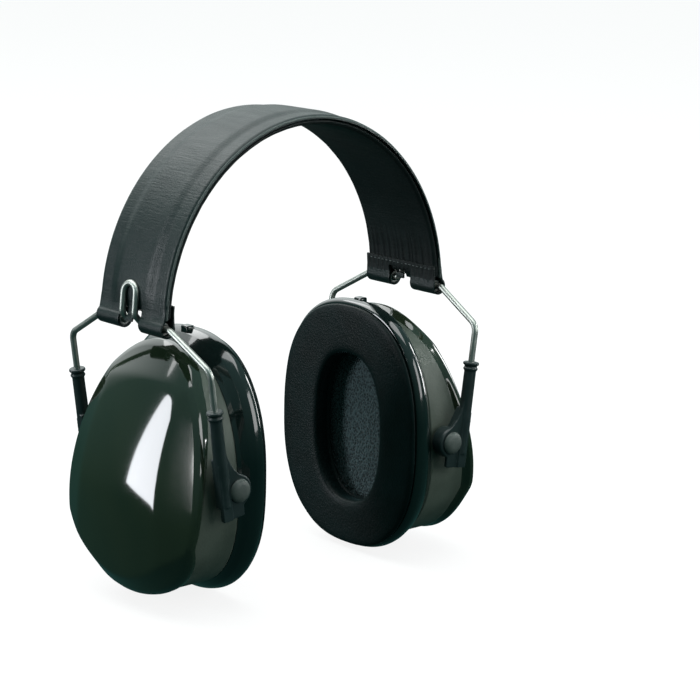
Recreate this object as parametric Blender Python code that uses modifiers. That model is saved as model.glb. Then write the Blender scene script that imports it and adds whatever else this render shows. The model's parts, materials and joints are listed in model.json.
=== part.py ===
"""A folding earmuff hearing protector: a sprung headband, two wire yokes that fold and
slide, and two ear cups that pivot between the yokes' plastic arms.

Units are metres. +Z is up, +X is the side of the right cup, and -Y is the front. The origin
is the middle of the headband's inner face at the crown, where the band rests on the head.
The left side mirrors the right side across X = 0. Each cup is described in its own
coordinates: rise is the distance outwards from the pivot axis, y is fore and aft, and
height is measured up from the pivot axis.
"""

import math

import bmesh
import bpy
from mathutils import Matrix, Vector

# Headband: four layers on one elliptical arch, from the outside in
BAND_WIDTH = 0.040
ARCH_HALF_WIDTH = 0.0698
ARCH_RISE = 0.0740
ARCH_STEPS = 27
COVER_THICKNESS = 0.0008
SPRING_THICKNESS = 0.0005
PADDING_THICKNESS = 0.0011
LINING_THICKNESS = 0.0008
LAYER_GAP = 0.00015
SPRING_WIDTH = 0.034
PADDING_WIDTH = 0.036

# Hem: the spring's rolled eyes, the wire in them and the cover sewn round them
HEM_X = 0.0682
EYE_BORE = 0.00155
EYE_RADIUS = 0.0023
HEM_RADIUS = 0.0026
FLAP_HEIGHTS = (0.0040, 0.0085)
NOTCH_HALF_WIDTH = 0.0063
NOTCH_TOP = 0.0050
EYE_START = 0.0065
EYE_END = 0.0180

# Wire yoke
WIRE_RADIUS = 0.00125
YOKE_LEAN = math.radians(7.7)
LEG_Y = 0.0432
SHOULDER_DROP = 0.0120
LEG_END = 0.0520
LOOP_HALF_WIDTH = 0.00385
LOOP_HEIGHT = 0.0147
LOOP_GAP = 0.00025

# Plastic arms, measured down the yoke's leg from the hem
ARM_TOP = 0.0266
ARM_BOTTOM = 0.0693
ARM_RADIUS = 0.0025
TAIL_RADIUS = 0.0021
ARM_BORE = 0.00155
BORE_END = 0.0605
PIVOT_DROP = 0.0591
PIVOT_OFFSET = 0.0064
EYE_PLATE_RADIUS = 0.0060
EYE_PLATE_INNER_Y = 0.0389
EYE_PLATE_OUTER_Y = 0.0443
TAIL_HALF_WIDTH = 0.0024
TAIL_INNER_Y = 0.0404
TAIL_OUTER_Y = 0.0443
GUSSET_TOP = 0.0100
GUSSET_BOTTOM = -0.0050
SLEEVE_END = 0.0620
PADDLE_INNER_Y = 0.0428
PADDLE_OUTER_Y = 0.0448

# Pivot pins
PIN_RADIUS = 0.0020
PIN_BORE = 0.00215
BUTTON_RADIUS = 0.0042
BUTTON_HEIGHT = 0.0019
PIN_END_Y = 0.0340
PIN_BARB_RADIUS = 0.0026

# Ear cup shell
SHELL_WALL = 0.0020
SHELL_HOLE = 0.0023
OVAL_POWER = 2.4
OVAL_COUNT = 32
MOUTH_RISE = -0.0046
CHANNEL_OVAL = (0.0375, 0.0465, 0.0455, 0.08)
DOME_OVAL = (0.0395, 0.0490, 0.0463, 0.147)
DOME_POWER = 2.2
DOME_EDGE = 0.00265
TAPER_SPAN = 0.047

# Facets of the dome, as rises over the pivot axis
FACE_RISE = 0.0257
FACE_CROWN_Y = 3.7
FACE_CROWN_V = 4.6
FACE_CENTRE = -0.0190
SIDE_START = 0.0241
SIDE_SLOPE = 0.40
SIDE_CURVE = 0.5
TOP_EDGE = 0.0410
TOP_RISE = 0.0082
TOP_SLOPE = 0.75
TOP_CURVE = 5.0
BOTTOM_EDGE = -0.0370
BOTTOM_RISE = 0.0253
BOTTOM_SLOPE = 0.77
BOTTOM_CURVE = 14.4
CREASE_SOFTNESS = 0.0005

# Everything in front of the shell's mouth, as rises over the pivot axis
RIM_BACK = -0.0049
RIM_FRONT = -0.0153
WEB_BACK = -0.0058
WEB_FRONT = -0.0072
PLATE_FRONT = -0.0085
CUSHION_FRONT = -0.0176
FIT_GAP = 0.0003
EAR_OPENING = (0.0190, 0.0306, 0.0306)

ACROSS = Matrix.Rotation(math.pi / 2, 4, "X")


def clear_scene():
    for obj in list(bpy.data.objects):
        bpy.data.objects.remove(obj)


def material(name, colour, roughness, metallic=0.0):
    made = bpy.data.materials.new(name)
    made.use_nodes = True
    shader = made.node_tree.nodes["Principled BSDF"]
    shader.inputs["Base Color"].default_value = (*colour, 1.0)
    shader.inputs["Roughness"].default_value = roughness
    shader.inputs["Metallic"].default_value = metallic
    return made


def collection(name):
    made = bpy.data.collections.new(name)
    bpy.context.scene.collection.children.link(made)
    return made


# ---------------------------------------------------------------- generic shapes


def new_object(name, data, group, finish=None):
    obj = bpy.data.objects.new(name, data)
    group.objects.link(obj)
    if finish is not None:
        obj.data.materials.append(finish)
    return obj


def face_outwards(bm):
    """Turn every face away from the middle of the shape."""
    bmesh.ops.recalc_face_normals(bm, faces=bm.faces)
    middle = sum((vert.co for vert in bm.verts), Vector()) / len(bm.verts)
    outward = 0.0
    for face in bm.faces:
        arm = face.calc_center_median() - middle
        outward += face.normal.dot(arm) * face.calc_area()
    if outward < 0:
        bmesh.ops.reverse_faces(bm, faces=bm.faces)


def mesh_object(name, bm, group, finish=None):
    face_outwards(bm)
    mesh = bpy.data.meshes.new(name)
    bm.to_mesh(mesh)
    bm.free()
    mesh.shade_smooth()
    mesh.set_sharp_from_angle(angle=math.radians(35))
    return new_object(name, mesh, group, finish)


def loft(name, rings, group, finish, joined=False, centre=None):
    """A skin over closed rings of points. joined runs it back to the first ring, and
    centre closes the last ring with a fan."""
    bm = bmesh.new()
    rows = [[bm.verts.new(point) for point in ring] for ring in rings]
    if joined:
        rows.append(rows[0])
    for near, far in zip(rows, rows[1:]):
        for k in range(len(near)):
            after = (k + 1) % len(near)
            bm.faces.new((near[k], near[after], far[after], far[k]))
    if centre is not None:
        tip = bm.verts.new(centre)
        last = rows[-1]
        for k in range(len(last)):
            bm.faces.new((last[k], last[(k + 1) % len(last)], tip))
    return mesh_object(name, bm, group, finish)


def strip(name, path, half_width, thickness, group, finish):
    """A band whose section in the XZ plane is a path, solidified to the left of the path."""
    bm = bmesh.new()
    rows = [[bm.verts.new((x, y, z)) for y in (-half_width, half_width)] for x, z in path]
    for (a, b), (c, d) in zip(rows, rows[1:]):
        bm.faces.new((a, c, d, b))
    mesh = bpy.data.meshes.new(name)
    bm.to_mesh(mesh)
    bm.free()
    obj = new_object(name, mesh, group, finish)
    solid = obj.modifiers.new("Thickness", "SOLIDIFY")
    solid.thickness = thickness
    solid.offset = 1.0
    solid.use_even_offset = True
    return obj


def cylinder(name, radius, start, end, group, finish=None, segments=20):
    """A capped cylinder between two points."""
    start, end = Vector(start), Vector(end)
    bm = bmesh.new()
    bmesh.ops.create_cone(
        bm,
        cap_ends=True,
        segments=segments,
        radius1=radius,
        radius2=radius,
        depth=(end - start).length,
    )
    turn = (end - start).to_track_quat("Z", "Y").to_matrix().to_4x4()
    bm.transform(Matrix.Translation((start + end) / 2) @ turn)
    return mesh_object(name, bm, group, finish)


def box(name, low, high, group, finish=None):
    bm = bmesh.new()
    bmesh.ops.create_cube(bm, size=1.0)
    low, high = Vector(low), Vector(high)
    bm.transform(Matrix.Translation((low + high) / 2) @ Matrix.Diagonal((*(high - low), 1.0)))
    return mesh_object(name, bm, group, finish)


def turned(name, profile, group, finish, segments):
    """A turned solid about its own Z axis from (radius, height) pairs, top to bottom. A
    first or last pair on the axis closes that end."""
    bm = bmesh.new()
    verts = [bm.verts.new((radius, 0, height)) for radius, height in profile]
    for a, b in zip(verts, verts[1:]):
        bm.edges.new((a, b))
    mesh = bpy.data.meshes.new(name)
    bm.to_mesh(mesh)
    bm.free()
    obj = new_object(name, mesh, group, finish)
    screw = obj.modifiers.new("Turn", "SCREW")
    screw.steps = segments
    screw.render_steps = segments
    screw.use_merge_vertices = True
    screw.merge_threshold = 0.00001
    screw.use_smooth_shade = True
    return obj


def baked(obj):
    """The object's evaluated mesh in world space, in place of its modifiers."""
    bpy.context.view_layer.update()
    graph = bpy.context.evaluated_depsgraph_get()
    evaluated = obj.evaluated_get(graph)
    mesh = bpy.data.meshes.new_from_object(evaluated, depsgraph=graph)
    mesh.transform(obj.matrix_world)
    name, group = obj.name, obj.users_collection[0]
    bpy.data.objects.remove(obj)
    return new_object(name, mesh, group)


def boolean(obj, other, operation):
    cut = obj.modifiers.new(operation.title(), "BOOLEAN")
    cut.operation = operation
    cut.object = other
    cut.solver = "EXACT"
    other.hide_render = True
    other.display_type = "WIRE"


def rounded_path(corners, steps=4):
    """Points along straight runs between (point, bend radius) corners, with the bends as
    arcs. A radius of 0 keeps the corner."""
    points = []
    last = len(corners) - 1
    for k, (corner, radius) in enumerate(corners):
        corner = Vector(corner)
        if k in (0, last) or radius == 0:
            points.append(corner)
            continue
        back = (Vector(corners[k - 1][0]) - corner).normalized()
        ahead = (Vector(corners[k + 1][0]) - corner).normalized()
        half = back.angle(ahead) / 2
        reach = radius / math.tan(half)
        centre = corner + (back + ahead).normalized() * (radius / math.sin(half))
        first, final = corner + back * reach - centre, corner + ahead * reach - centre
        sweep = first.angle(final)
        for step in range(steps + 1):
            share = step / steps
            weight = math.sin((1 - share) * sweep), math.sin(share * sweep)
            arm = (first * weight[0] + final * weight[1]) / math.sin(sweep)
            points.append(centre + arm)
    return points


def wire(name, points, radius, group, finish):
    curve = bpy.data.curves.new(name, "CURVE")
    curve.dimensions = "3D"
    curve.bevel_depth = radius
    curve.bevel_resolution = 2
    curve.use_fill_caps = True
    spline = curve.splines.new("POLY")
    spline.points.add(len(points) - 1)
    for slot, point in zip(spline.points, points):
        slot.co = (*point, 1.0)
    return new_object(name, curve, group, finish)


# ---------------------------------------------------------------- the headband


def arch_point(angle, depth):
    """(x, z) on the arch, angle from the crown, depth inwards from the outer face, with z
    measured from the hem line."""
    x, z = ARCH_HALF_WIDTH * math.sin(angle), ARCH_RISE * math.cos(angle)
    normal = Vector((x / ARCH_HALF_WIDTH**2, z / ARCH_RISE**2)).normalized()
    return x - normal.x * depth, z - normal.y * depth


BAND_THICKNESS = (
    COVER_THICKNESS + SPRING_THICKNESS + PADDING_THICKNESS + LINING_THICKNESS + 3 * LAYER_GAP
)
HALF_STEP = math.pi / 2 / ARCH_STEPS
# The flat at the crown's inner face is the origin's level.
HEM_Z = -arch_point(HALF_STEP, BAND_THICKNESS)[1]


def arch_path(depth, foot):
    """Points along the arch at one depth, from the left to the right, ending at a height
    above the hem line."""
    reach = math.acos(foot / ARCH_RISE)
    angles = [(k + 0.5) * 2 * HALF_STEP for k in range(-ARCH_STEPS // 2, ARCH_STEPS // 2 + 1)]
    inner = [angle for angle in angles if abs(angle) < reach - HALF_STEP / 2]
    points = [arch_point(angle, depth) for angle in [-reach, *inner, reach]]
    return [(x, z + HEM_Z) for x, z in points]


def hem_path():
    """The cover's path round the right hem: down the outside, under the eyes and up the
    inside to the sewn flap, as (x, z)."""
    wrap = [math.radians(angle) for angle in range(60, -201, -20)]
    points = [
        (HEM_X + HEM_RADIUS * math.cos(angle), HEM_Z + HEM_RADIUS * math.sin(angle))
        for angle in wrap
    ]
    for height in FLAP_HEIGHTS:
        face = ARCH_HALF_WIDTH * math.sqrt(1 - (height / ARCH_RISE) ** 2) - BAND_THICKNESS
        points.append((face - 2 * LAYER_GAP, HEM_Z + height))
    return points


def hem_notches(obj, half_width, cutters):
    """Cut the openings at both hems where the yokes' loops come out."""
    for side in (-1, 1):
        notch = box(
            f"{obj.name}_notch_{side}",
            (side * HEM_X - 0.0050, -half_width, HEM_Z - 0.0060),
            (side * HEM_X + 0.0050, half_width, HEM_Z + NOTCH_TOP),
            cutters,
        )
        boolean(obj, notch, "DIFFERENCE")


def band_cover(group, finish, cutters):
    right = hem_path()
    left = [(-x, z) for x, z in reversed(right)]
    path = left + arch_path(COVER_THICKNESS, 0.0055) + right
    cover = strip("band_cover", path, BAND_WIDTH / 2, COVER_THICKNESS, group, finish)
    hem_notches(cover, NOTCH_HALF_WIDTH, cutters)


def band_spring(group, finish, cutters):
    depth = COVER_THICKNESS + LAYER_GAP + SPRING_THICKNESS
    foot = (EYE_BORE + EYE_RADIUS) / 2
    spring = strip(
        "band_spring", arch_path(depth, foot), SPRING_WIDTH / 2, SPRING_THICKNESS, group, finish
    )
    for side in (-1, 1):
        for end in (-1, 1):
            ys = (end * EYE_START, end * EYE_END)
            eye = cylinder(
                f"spring_eye_{side}_{end}",
                EYE_RADIUS,
                (side * HEM_X, ys[0], HEM_Z),
                (side * HEM_X, ys[1], HEM_Z),
                cutters,
            )
            boolean(spring, eye, "UNION")
        bore = cylinder(
            f"spring_bore_{side}",
            EYE_BORE,
            (side * HEM_X, -BAND_WIDTH, HEM_Z),
            (side * HEM_X, BAND_WIDTH, HEM_Z),
            cutters,
        )
        boolean(spring, bore, "DIFFERENCE")
    hem_notches(spring, EYE_START - 0.0001, cutters)


def headband(group, finishes, cutters):
    band_cover(group, finishes["leatherette"], cutters)
    band_spring(group, finishes["spring_steel"], cutters)
    depth = COVER_THICKNESS + SPRING_THICKNESS + 2 * LAYER_GAP + PADDING_THICKNESS
    strip(
        "band_padding",
        arch_path(depth, 0.0060),
        PADDING_WIDTH / 2,
        PADDING_THICKNESS,
        group,
        finishes["foam"],
    )
    strip(
        "band_lining",
        arch_path(BAND_THICKNESS, 0.0040),
        BAND_WIDTH / 2,
        LINING_THICKNESS,
        group,
        finishes["lining"],
    )


# ---------------------------------------------------------------- yokes and arms


def yoke_point(side, down, y, out=0.0):
    """A point down the leaning yoke from the hem axis, and out from its plane."""
    lean = side * YOKE_LEAN
    x = side * HEM_X - down * math.sin(lean) + out * side * math.cos(lean)
    z = HEM_Z - down * math.cos(lean) - out * side * math.sin(lean)
    return Vector((x, y, z))


def loop_point(side, height, y):
    """A point of the hairpin loop, which lies against the cover's outer face."""
    face = ARCH_HALF_WIDTH * math.sqrt(1 - (height / ARCH_RISE) ** 2)
    return Vector((side * (face + WIRE_RADIUS + LOOP_GAP), y, HEM_Z + height))


def wire_yoke(side, name, group, finish):
    """One wire: leg, shoulder, hem, hairpin loop, hem, shoulder, leg."""
    loop_foot = 0.0034
    arc_start = LOOP_HEIGHT - LOOP_HALF_WIDTH
    half = [
        (yoke_point(side, LEG_END, -LEG_Y), 0),
        (yoke_point(side, SHOULDER_DROP, -LEG_Y), 0.0050),
        (yoke_point(side, 0, -BAND_WIDTH / 2 - 0.0012), 0.0040),
        (yoke_point(side, 0, -LOOP_HALF_WIDTH), 0.0020),
        (loop_point(side, loop_foot, -LOOP_HALF_WIDTH), 0.0020),
        (loop_point(side, arc_start, -LOOP_HALF_WIDTH), 0),
    ]
    front = rounded_path(half)
    arc = []
    for k in range(1, 8):
        angle = math.pi * k / 8
        height = arc_start + LOOP_HALF_WIDTH * math.sin(angle)
        arc.append(loop_point(side, height, -LOOP_HALF_WIDTH * math.cos(angle)))
    rear = [Vector((p.x, -p.y, p.z)) for p in reversed(front)]
    wire(name, front + arc + rear, WIRE_RADIUS, group, finish)


def arm(side, end, name, group, finish, cutters):
    """A plastic arm: a sleeve that slides on the yoke's leg, with an eye for the pivot.
    end is -1 in front and 1 behind."""
    y = end * LEG_Y
    length = SLEEVE_END - ARM_TOP
    profile = [
        (0, 0),
        (0.0036, 0),
        (0.0036, -0.0012),
        (0.0028, -0.0016),
        (0.0032, -0.0022),
        (0.0032, -0.0028),
        (ARM_RADIUS, -0.0032),
        (ARM_RADIUS, -length + 0.0120),
        (TAIL_RADIUS, -length + 0.0090),
        (TAIL_RADIUS, -length),
        (0, -length),
    ]
    top = yoke_point(side, ARM_TOP, y)
    lean = Matrix.Rotation(side * YOKE_LEAN, 4, "Y")
    sleeve = turned(name, profile, group, None, 16)
    sleeve.matrix_world = Matrix.Translation(top) @ lean
    sleeve = baked(sleeve)
    sleeve.data.materials.append(finish)

    pivot = pivot_centre(side)
    plate = cylinder(
        f"{name}_eye",
        EYE_PLATE_RADIUS,
        (pivot.x, end * EYE_PLATE_INNER_Y, pivot.z),
        (pivot.x, end * EYE_PLATE_OUTER_Y, pivot.z),
        cutters,
        segments=24,
    )
    boolean(sleeve, plate, "UNION")
    pads = (
        (
            "gusset",
            (0.0, PIVOT_OFFSET + TAIL_HALF_WIDTH),
            (TAIL_INNER_Y, TAIL_OUTER_Y),
            (GUSSET_BOTTOM, GUSSET_TOP),
        ),
        (
            "paddle",
            (PIVOT_OFFSET - TAIL_HALF_WIDTH, PIVOT_OFFSET + TAIL_HALF_WIDTH + 0.0003),
            (PADDLE_INNER_Y, PADDLE_OUTER_Y),
            (PIVOT_DROP - ARM_BOTTOM, GUSSET_BOTTOM + 0.0030),
        ),
    )
    for part, reach, ys, zs in pads:
        xs = sorted((side * reach[0], side * reach[1]))
        y_low, y_high = sorted((end * ys[0], end * ys[1]))
        pad = box(f"{name}_{part}", (xs[0], y_low, zs[0]), (xs[1], y_high, zs[1]), cutters)
        pad.matrix_world = Matrix.Translation((pivot.x, 0, pivot.z)) @ lean
        boolean(sleeve, pad, "UNION")
    bore = cylinder(
        f"{name}_bore",
        ARM_BORE,
        yoke_point(side, ARM_TOP - 0.0050, y),
        yoke_point(side, BORE_END, y),
        cutters,
    )
    boolean(sleeve, bore, "DIFFERENCE")
    hole = cylinder(
        f"{name}_hole",
        PIN_BORE,
        (pivot.x, end * 0.0300, pivot.z),
        (pivot.x, end * 0.0500, pivot.z),
        cutters,
    )
    boolean(sleeve, hole, "DIFFERENCE")


def pivot_centre(side):
    return yoke_point(side, PIVOT_DROP, 0, -PIVOT_OFFSET)


def pivot_pin(side, end, name, group, finish):
    """A snap pin: a domed button outside the arm's eye, a shank through it and the shell,
    and a barb inside."""
    face = EYE_PLATE_OUTER_Y + FIT_GAP
    barb = CHANNEL_OVAL[0] - SHELL_WALL - FIT_GAP
    profile = [
        (0, face + BUTTON_HEIGHT),
        (0.0024, face + BUTTON_HEIGHT - 0.0003),
        (0.0036, face + BUTTON_HEIGHT - 0.0010),
        (BUTTON_RADIUS, face + 0.0004),
        (BUTTON_RADIUS, face),
        (PIN_RADIUS, face),
        (PIN_RADIUS, barb),
        (PIN_BARB_RADIUS, barb),
        (PIN_RADIUS, PIN_END_Y),
        (0, PIN_END_Y),
    ]
    pin = turned(name, profile, group, finish, 20)
    pivot = pivot_centre(side)
    turn = Matrix.Rotation(-end * math.pi / 2, 4, "X")
    pin.matrix_world = Matrix.Translation((pivot.x, 0, pivot.z)) @ turn


# ---------------------------------------------------------------- ear cups


def narrowing(height, taper):
    """How much narrower an egg-shaped outline is at a height."""
    return 1 - taper * height / TAPER_SPAN


def oval(half_width, top, bottom, taper=0.0, power=OVAL_POWER):
    """A closed egg-shaped outline as (y, height) pairs."""
    points = []
    for k in range(OVAL_COUNT):
        angle = 2 * math.pi * k / OVAL_COUNT
        c, s = math.cos(angle), math.sin(angle)
        reach = top if s > 0 else bottom
        height = reach * math.copysign(abs(s) ** (2 / power), s)
        y = half_width * math.copysign(abs(c) ** (2 / power), c)
        points.append((y * narrowing(height, taper), height))
    return points


def dome_rise(y, height):
    """The outer face of the cup: four crowned facets, the lowest of them at each point,
    with a soft crease where two meet."""
    y = abs(y) / narrowing(height, DOME_OVAL[3])
    fall = FACE_CROWN_V * (height - FACE_CENTRE) ** 2
    beyond = y - SIDE_START
    facets = (
        FACE_RISE - FACE_CROWN_Y * y**2 - fall,
        FACE_RISE
        - FACE_CROWN_Y * SIDE_START**2
        - SIDE_SLOPE * beyond
        - SIDE_CURVE * beyond * abs(beyond)
        - fall,
        TOP_RISE - TOP_SLOPE * (height - TOP_EDGE) - TOP_CURVE * y**2,
        BOTTOM_RISE + BOTTOM_SLOPE * (height - BOTTOM_EDGE) - BOTTOM_CURVE * y**2,
    )
    lowest = min(facets)
    total = sum(math.exp((lowest - facet) / CREASE_SOFTNESS) for facet in facets)
    return lowest - CREASE_SOFTNESS * math.log(total)


def cup_point(side, rise, y, height):
    pivot = pivot_centre(side)
    return Vector((pivot.x + side * rise, y, pivot.z + height))


def flat_ring(side, outline, rise):
    return [cup_point(side, rise, y, v) for y, v in outline]


def cup_shell(side, name, group, finish, cutters):
    """The moulded outer cup: a recessed channel for the arms behind a faceted dome."""
    channel, edge = oval(*CHANNEL_OVAL), oval(*DOME_OVAL, DOME_POWER)
    edge_rises = [dome_rise(y, v) for y, v in edge]
    rings = [
        flat_ring(side, channel, MOUTH_RISE),
        [cup_point(side, r - DOME_EDGE - 0.0022, y, v) for (y, v), r in zip(channel, edge_rises)],
        [cup_point(side, r - DOME_EDGE, y, v) for (y, v), r in zip(edge, edge_rises)],
    ]
    for share in (0.985, 0.86, 0.66, 0.42, 0.18):
        inner = [(y * share, v * share) for y, v in edge]
        rings.append([cup_point(side, dome_rise(y, v), y, v) for y, v in inner])
    centre = cup_point(side, dome_rise(0, 0), 0, 0)
    shell = loft(name, rings, group, finish, centre=centre)
    wall = shell.modifiers.new("Wall", "SOLIDIFY")
    wall.thickness = SHELL_WALL
    wall.offset = -1.0
    pivot = pivot_centre(side)
    hole = cylinder(
        f"{name}_holes",
        SHELL_HOLE,
        (pivot.x, -0.0600, pivot.z),
        (pivot.x, 0.0600, pivot.z),
        cutters,
    )
    boolean(shell, hole, "DIFFERENCE")


def grown(base, by):
    return tuple(reach + by for reach in base)


def section_ring(side, section, name, group, finish):
    """A ring whose section is a list of (oval, rise) corners."""
    rings = [flat_ring(side, oval(*reach), rise) for reach, rise in section]
    return loft(name, rings, group, finish, joined=True)


def cup_rim(side, name, group, finish, cutters):
    """The glossy ring that closes the shell's mouth: a flared lip outside, a recess for the
    cushion and a web round the ear opening."""
    web = (0.0240, 0.0345, 0.0345)
    section = [
        (CHANNEL_OVAL, RIM_BACK),
        ((0.0382, 0.0480, 0.0467, 0.06), -0.0062),
        ((0.0403, 0.0503, 0.0486, 0.03), -0.0083),
        ((0.0417, 0.0521, 0.0502), -0.0105),
        ((0.0420, 0.0524, 0.0506), -0.0124),
        ((0.0407, 0.0511, 0.0494), RIM_FRONT),
        ((0.0388, 0.0490, 0.0478), RIM_FRONT),
        ((0.0378, 0.0470, 0.0464), WEB_FRONT),
        (web, WEB_FRONT),
        (web, WEB_BACK),
        ((0.0350, 0.0440, 0.0435), WEB_BACK),
        ((0.0355, 0.0445, 0.0440), RIM_BACK),
    ]
    rim = section_ring(side, section, name, group, finish)
    tab_rises = sorted((side * -0.0124, side * -0.0078))
    pivot = pivot_centre(side)
    tab = box(
        f"{name}_tab",
        (pivot.x + tab_rises[0], -0.0028, pivot.z + 0.0500),
        (pivot.x + tab_rises[1], 0.0028, pivot.z + 0.0536),
        cutters,
    )
    boolean(rim, tab, "UNION")


def cushion_plate(side, name, group, finish):
    """The stiff ring behind the cushion, which snaps into the rim's recess."""
    outer, inner = (0.0370, 0.0463, 0.0457), (0.0230, 0.0335, 0.0335)
    back = WEB_FRONT - FIT_GAP
    section = [(outer, back), (outer, PLATE_FRONT), (inner, PLATE_FRONT), (inner, back)]
    section_ring(side, section, name, group, finish)


def cushion(side, name, group, finish):
    """The ear seal: a soft ring that fills the rim's recess and stands just over its lip."""
    back = PLATE_FRONT - FIT_GAP
    section = [
        ((0.0368, 0.0460, 0.0454), back),
        ((0.0375, 0.0477, 0.0467), RIM_FRONT - FIT_GAP),
        ((0.0398, 0.0502, 0.0486), RIM_FRONT - FIT_GAP),
        ((0.0396, 0.0500, 0.0484), -0.0166),
        ((0.0384, 0.0488, 0.0472), CUSHION_FRONT),
        ((0.0212, 0.0328, 0.0328), CUSHION_FRONT),
        (grown(EAR_OPENING, 0.0006), -0.0166),
        (EAR_OPENING, -0.0130),
        (grown(EAR_OPENING, 0.0012), back),
    ]
    section_ring(side, section, name, group, finish)


def foam_liner(side, name, group, finish):
    """The sound-absorbing foam pressed into the cup."""
    levels = [
        ((0.0150, 0.0200, 0.0200), WEB_BACK + FIT_GAP),
        ((0.0320, 0.0410, 0.0405), WEB_BACK + FIT_GAP),
        ((0.0325, 0.0415, 0.0410), 0.0005),
        ((0.0290, 0.0360, 0.0350), 0.0075),
        ((0.0180, 0.0230, 0.0230), 0.0140),
    ]
    rings = [flat_ring(side, oval(*reach), rise) for reach, rise in levels]
    bm_front = cup_point(side, WEB_BACK + FIT_GAP, 0, 0)
    liner = loft(name, rings, group, finish, centre=cup_point(side, 0.0150, 0, 0))
    bm = bmesh.new()
    bm.from_mesh(liner.data)
    rim_edges = [edge for edge in bm.edges if edge.is_boundary]
    tip = bm.verts.new(bm_front)
    for edge in rim_edges:
        bm.faces.new((*edge.verts, tip))
    face_outwards(bm)
    bm.to_mesh(liner.data)
    bm.free()


def ear_side(side, word, group, finishes, cutters):
    """Everything that hangs on one end of the headband."""
    wire_yoke(side, f"{word}_wire_yoke", group, finishes["wire"])
    for end, place in ((-1, "front"), (1, "rear")):
        arm(side, end, f"{word}_{place}_arm", group, finishes["arm"], cutters)
        pivot_pin(side, end, f"{word}_{place}_pivot_pin", group, finishes["pin"])
    cup_shell(side, f"{word}_cup_shell", group, finishes["shell"], cutters)
    cup_rim(side, f"{word}_cup_rim", group, finishes["rim"], cutters)
    cushion_plate(side, f"{word}_cushion_plate", group, finishes["plate"])
    cushion(side, f"{word}_cushion", group, finishes["cushion"])
    foam_liner(side, f"{word}_foam_liner", group, finishes["foam"])


def main():
    clear_scene()
    parts = collection("earmuff")
    cutters = collection("cutters")
    finishes = {
        "leatherette": material("leatherette", (0.045, 0.055, 0.055), 0.55),
        "lining": material("lining", (0.010, 0.018, 0.020), 0.70),
        "spring_steel": material("spring_steel", (0.55, 0.55, 0.54), 0.35, 1.0),
        "foam": material("foam", (0.060, 0.075, 0.078), 0.95),
        "wire": material("wire", (0.62, 0.61, 0.59), 0.25, 1.0),
        "arm": material("arm", (0.018, 0.024, 0.026), 0.45),
        "pin": material("pin", (0.070, 0.072, 0.068), 0.60),
        "shell": material("shell", (0.040, 0.044, 0.026), 0.12),
        "rim": material("rim", (0.012, 0.016, 0.015), 0.12),
        "plate": material("plate", (0.015, 0.018, 0.018), 0.50),
        "cushion": material("cushion", (0.010, 0.014, 0.016), 0.55),
    }
    headband(parts, finishes, cutters)
    ear_side(-1, "left", parts, finishes, cutters)
    ear_side(1, "right", parts, finishes, cutters)


main()
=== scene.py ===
"""The looks of a folding earmuff hearing protector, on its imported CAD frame.

Metres, +Z up, +X towards the right cup, -Y towards the front.
"""

import json
import math

import bmesh
import bpy
from mathutils import Matrix, Vector, noise


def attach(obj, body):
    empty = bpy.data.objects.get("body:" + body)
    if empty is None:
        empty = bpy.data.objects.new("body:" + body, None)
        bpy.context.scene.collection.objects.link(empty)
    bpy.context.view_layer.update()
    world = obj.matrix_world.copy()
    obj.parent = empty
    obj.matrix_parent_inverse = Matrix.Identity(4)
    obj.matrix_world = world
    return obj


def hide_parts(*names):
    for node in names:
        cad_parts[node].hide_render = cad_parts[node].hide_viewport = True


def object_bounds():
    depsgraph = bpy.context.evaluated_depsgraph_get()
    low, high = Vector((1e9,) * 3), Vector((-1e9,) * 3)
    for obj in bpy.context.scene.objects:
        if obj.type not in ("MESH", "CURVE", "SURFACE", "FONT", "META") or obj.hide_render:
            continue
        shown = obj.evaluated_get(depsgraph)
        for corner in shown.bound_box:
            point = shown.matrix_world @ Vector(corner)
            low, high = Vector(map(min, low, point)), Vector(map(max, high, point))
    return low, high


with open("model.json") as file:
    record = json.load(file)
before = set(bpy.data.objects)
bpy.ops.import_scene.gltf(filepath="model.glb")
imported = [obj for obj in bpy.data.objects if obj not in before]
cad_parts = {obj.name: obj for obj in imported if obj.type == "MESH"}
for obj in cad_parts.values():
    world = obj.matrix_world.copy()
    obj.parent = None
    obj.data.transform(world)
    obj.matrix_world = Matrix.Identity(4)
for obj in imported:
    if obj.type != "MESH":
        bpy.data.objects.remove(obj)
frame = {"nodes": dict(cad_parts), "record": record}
CAD_BOX = [list(corner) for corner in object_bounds()]
JOINTS = {joint["name"]: joint for joint in frame["record"]["behaviour"]["joints"]}
HEM = Vector(JOINTS["right_fold"]["pos_m"])
PIVOT = Vector(JOINTS["right_swivel"]["pos_m"])

# The CAD model's own dimensions, in metres
ARCH_HALF_WIDTH = 0.0698
ARCH_RISE = 0.0740
BAND_HALF = 0.0200
COVER = 0.0008
BAND_THICKNESS = 0.00365
HEM_RADIUS = 0.0026
NOTCH_HALF = 0.0063
NOTCH_TOP = 0.0050
TONGUE_HALF = 0.0021
GATHER_PITCH = 0.0029
FLAP_PITCH = 0.0026
STITCH_LENGTH = 0.0015
STITCH_PITCH = 0.0023
YOKE_LEAN = math.radians(7.7)
WIRE_RADIUS = 0.00125
LEG_Y = 0.0432
LEG_END = 0.0520
LOOP_HALF = 0.00385
LOOP_HEIGHT = 0.0147
ARM_TOP = 0.0266
ARM_BOTTOM = 0.0693
ARM_FACE = 0.0443
RIM_FRONT = -0.0153
LINER_FRONT = -0.0055

# The camera: degrees, metres, and a lens length in millimetres on a 36 mm sensor
CAMERA_AZIMUTH = -39.7
CAMERA_ELEVATION = 11.5
CAMERA_ROLL = 0.5
CAMERA_PAN = -1.834
CAMERA_TILT = -1.281
CAMERA_DISTANCE = 0.890
LENS = 117.26


# ---------------------------------------------------------------- node helpers


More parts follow.
